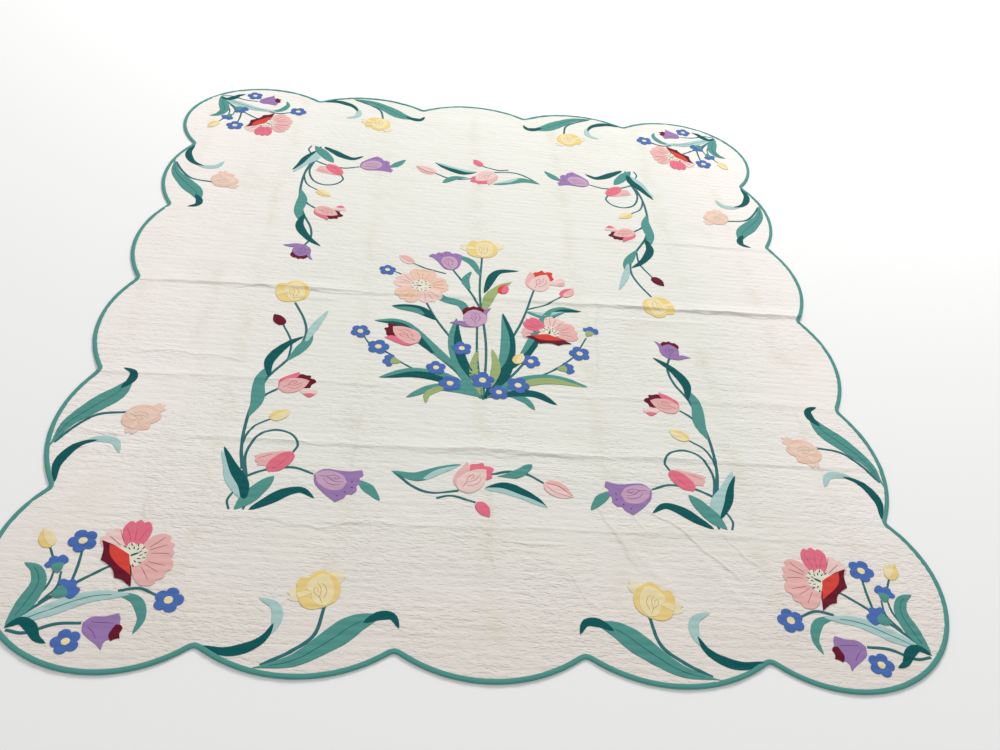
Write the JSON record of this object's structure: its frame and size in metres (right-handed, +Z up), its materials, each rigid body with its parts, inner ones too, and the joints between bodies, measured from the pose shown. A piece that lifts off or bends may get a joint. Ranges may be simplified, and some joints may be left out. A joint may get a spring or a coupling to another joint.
{
  "type": "applique quilt",
  "caption": "Bed quilt laid flat, with a scalloped bound edge, fine crosswise quilting, soft fold ridges and sewn-on flower sprays round a centre bouquet.",
  "frame": {"origin": "on the floor, under the middle of the quilt", "axes": "+X across the width, +Y along the length away from the near end, +Z up"},
  "size_m": [1.977, 2.347, 0.0142],
  "materials": {
    "ground_cloth": "plain woven cotton, quilted",
    "green_cloth": "plain woven cotton",
    "pink_cloth": "plain woven cotton",
    "pale_pink_cloth": "plain woven cotton",
    "peach_cloth": "plain woven cotton",
    "yellow_cloth": "plain woven cotton",
    "purple_cloth": "plain woven cotton",
    "maroon_cloth": "plain woven cotton"
  },
  "bodies": {
    "root": {"quilt": "ground_cloth", "binding": "green_cloth", "bouquet_leaves": "green_cloth", "bouquet_left_bloom": "pale_pink_cloth", "bouquet_low_bloom": "pink_cloth", "bouquet_low_tulip": "peach_cloth", "bouquet_right_tulip": "pink_cloth", "bouquet_top_tulip": "yellow_cloth", "bouquet_upper_tulip": "purple_cloth", "corner_bloom_far_left": "pale_pink_cloth", "corner_bloom_far_right": "pale_pink_cloth", "corner_bloom_near_left": "pale_pink_cloth", "corner_bloom_near_right": "pale_pink_cloth", "corner_leaves_far_left": "green_cloth", "corner_leaves_far_right": "green_cloth", "corner_leaves_near_left": "green_cloth", "corner_leaves_near_right": "green_cloth", "corner_tulip_far_left": "purple_cloth", "corner_tulip_far_right": "purple_cloth", "corner_tulip_near_left": "purple_cloth", "corner_tulip_near_right": "purple_cloth", "end_lobe_leaves_far_left": "green_cloth", "end_lobe_leaves_far_right": "green_cloth", "end_lobe_leaves_near_left": "green_cloth", "end_lobe_leaves_near_right": "green_cloth", "end_lobe_tulip_far_left": "yellow_cloth", "end_lobe_tulip_far_right": "yellow_cloth", "end_lobe_tulip_near_left": "yellow_cloth", "end_lobe_tulip_near_right": "yellow_cloth", "garland_end_tulip_far_left": "maroon_cloth", "garland_end_tulip_far_right": "yellow_cloth", "garland_end_tulip_near_left": "yellow_cloth", "garland_end_tulip_near_right": "maroon_cloth", "garland_inner_tulip_far_left": "pink_cloth", "garland_inner_tulip_far_right": "pink_cloth", "garland_inner_tulip_near_left": "pink_cloth", "garland_inner_tulip_near_right": "pink_cloth", "garland_leaves_far_left": "green_cloth", "garland_leaves_far_right": "green_cloth", "garland_leaves_near_left": "green_cloth", "garland_leaves_near_right": "green_cloth", "garland_side_tulip_far_left": "purple_cloth", "garland_side_tulip_far_right": "purple_cloth", "garland_side_tulip_near_left": "purple_cloth", "garland_side_tulip_near_right": "purple_cloth", "side_lobe_leaves_far_left": "green_cloth", "side_lobe_leaves_far_right": "green_cloth", "side_lobe_leaves_near_left": "green_cloth", "side_lobe_leaves_near_right": "green_cloth", "side_lobe_tulip_far_left": "peach_cloth", "side_lobe_tulip_far_right": "peach_cloth", "side_lobe_tulip_near_left": "peach_cloth", "side_lobe_tulip_near_right": "peach_cloth", "sprig_leaves_far": "green_cloth", "sprig_leaves_near": "green_cloth", "sprig_tulip_far": "pale_pink_cloth", "sprig_tulip_near": "pale_pink_cloth"}
  },
  "joints": []
}
